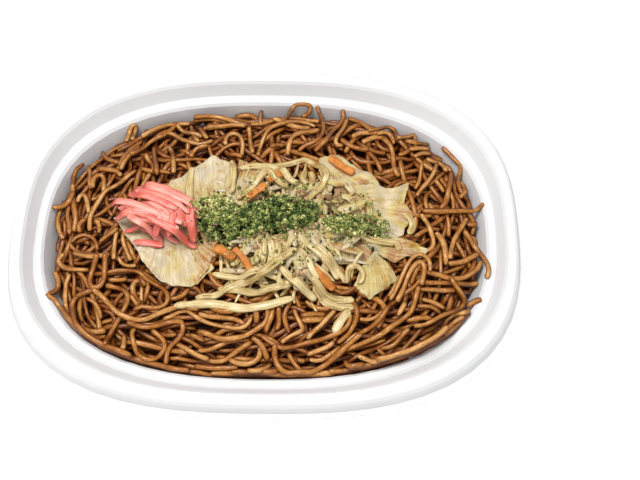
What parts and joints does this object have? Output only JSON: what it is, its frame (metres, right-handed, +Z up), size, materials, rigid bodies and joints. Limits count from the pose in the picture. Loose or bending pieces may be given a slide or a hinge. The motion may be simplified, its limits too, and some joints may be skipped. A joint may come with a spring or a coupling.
{
  "type": "yakisoba in an oval takeaway tray",
  "caption": "Oval takeaway tray filled with brown fried noodles, topped with cabbage leaves, bean sprouts, carrot strips and a heap of red pickled ginger.",
  "frame": {"origin": "on the table, under the middle of the tray", "axes": "+X along the tray's long axis, +Y to the back of the tray as it is served, +Z up"},
  "size_m": [0.24, 0.18, 0.048],
  "materials": {
    "tray": "satin white foamed plastic sheet",
    "noodles": "glossy golden brown noodle, oiled and sauced",
    "bean_sprouts": "moist cream-white sprout",
    "ginger": "wet pink pickled ginger",
    "cabbage": "moist translucent fried cabbage",
    "carrot": "moist cooked carrot",
    "seaweed": "dry dark green seaweed flakes",
    "mince": "cooked minced meat"
  },
  "bodies": {
    "root": {"tray": "tray", "noodles": "noodles", "bean_sprouts": "bean_sprouts", "ginger": "ginger", "cabbage_back_left": "cabbage", "cabbage_front_left": "cabbage", "cabbage_middle_back": "cabbage", "cabbage_middle_right": "cabbage", "cabbage_back_right": "cabbage", "cabbage_right": "cabbage", "cabbage_right_front": "cabbage", "cabbage_front_right": "cabbage", "carrot_1": "carrot", "carrot_2": "carrot", "carrot_3": "carrot", "carrot_4": "carrot", "carrot_5": "carrot", "carrot_6": "carrot"}
  },
  "joints": []
}
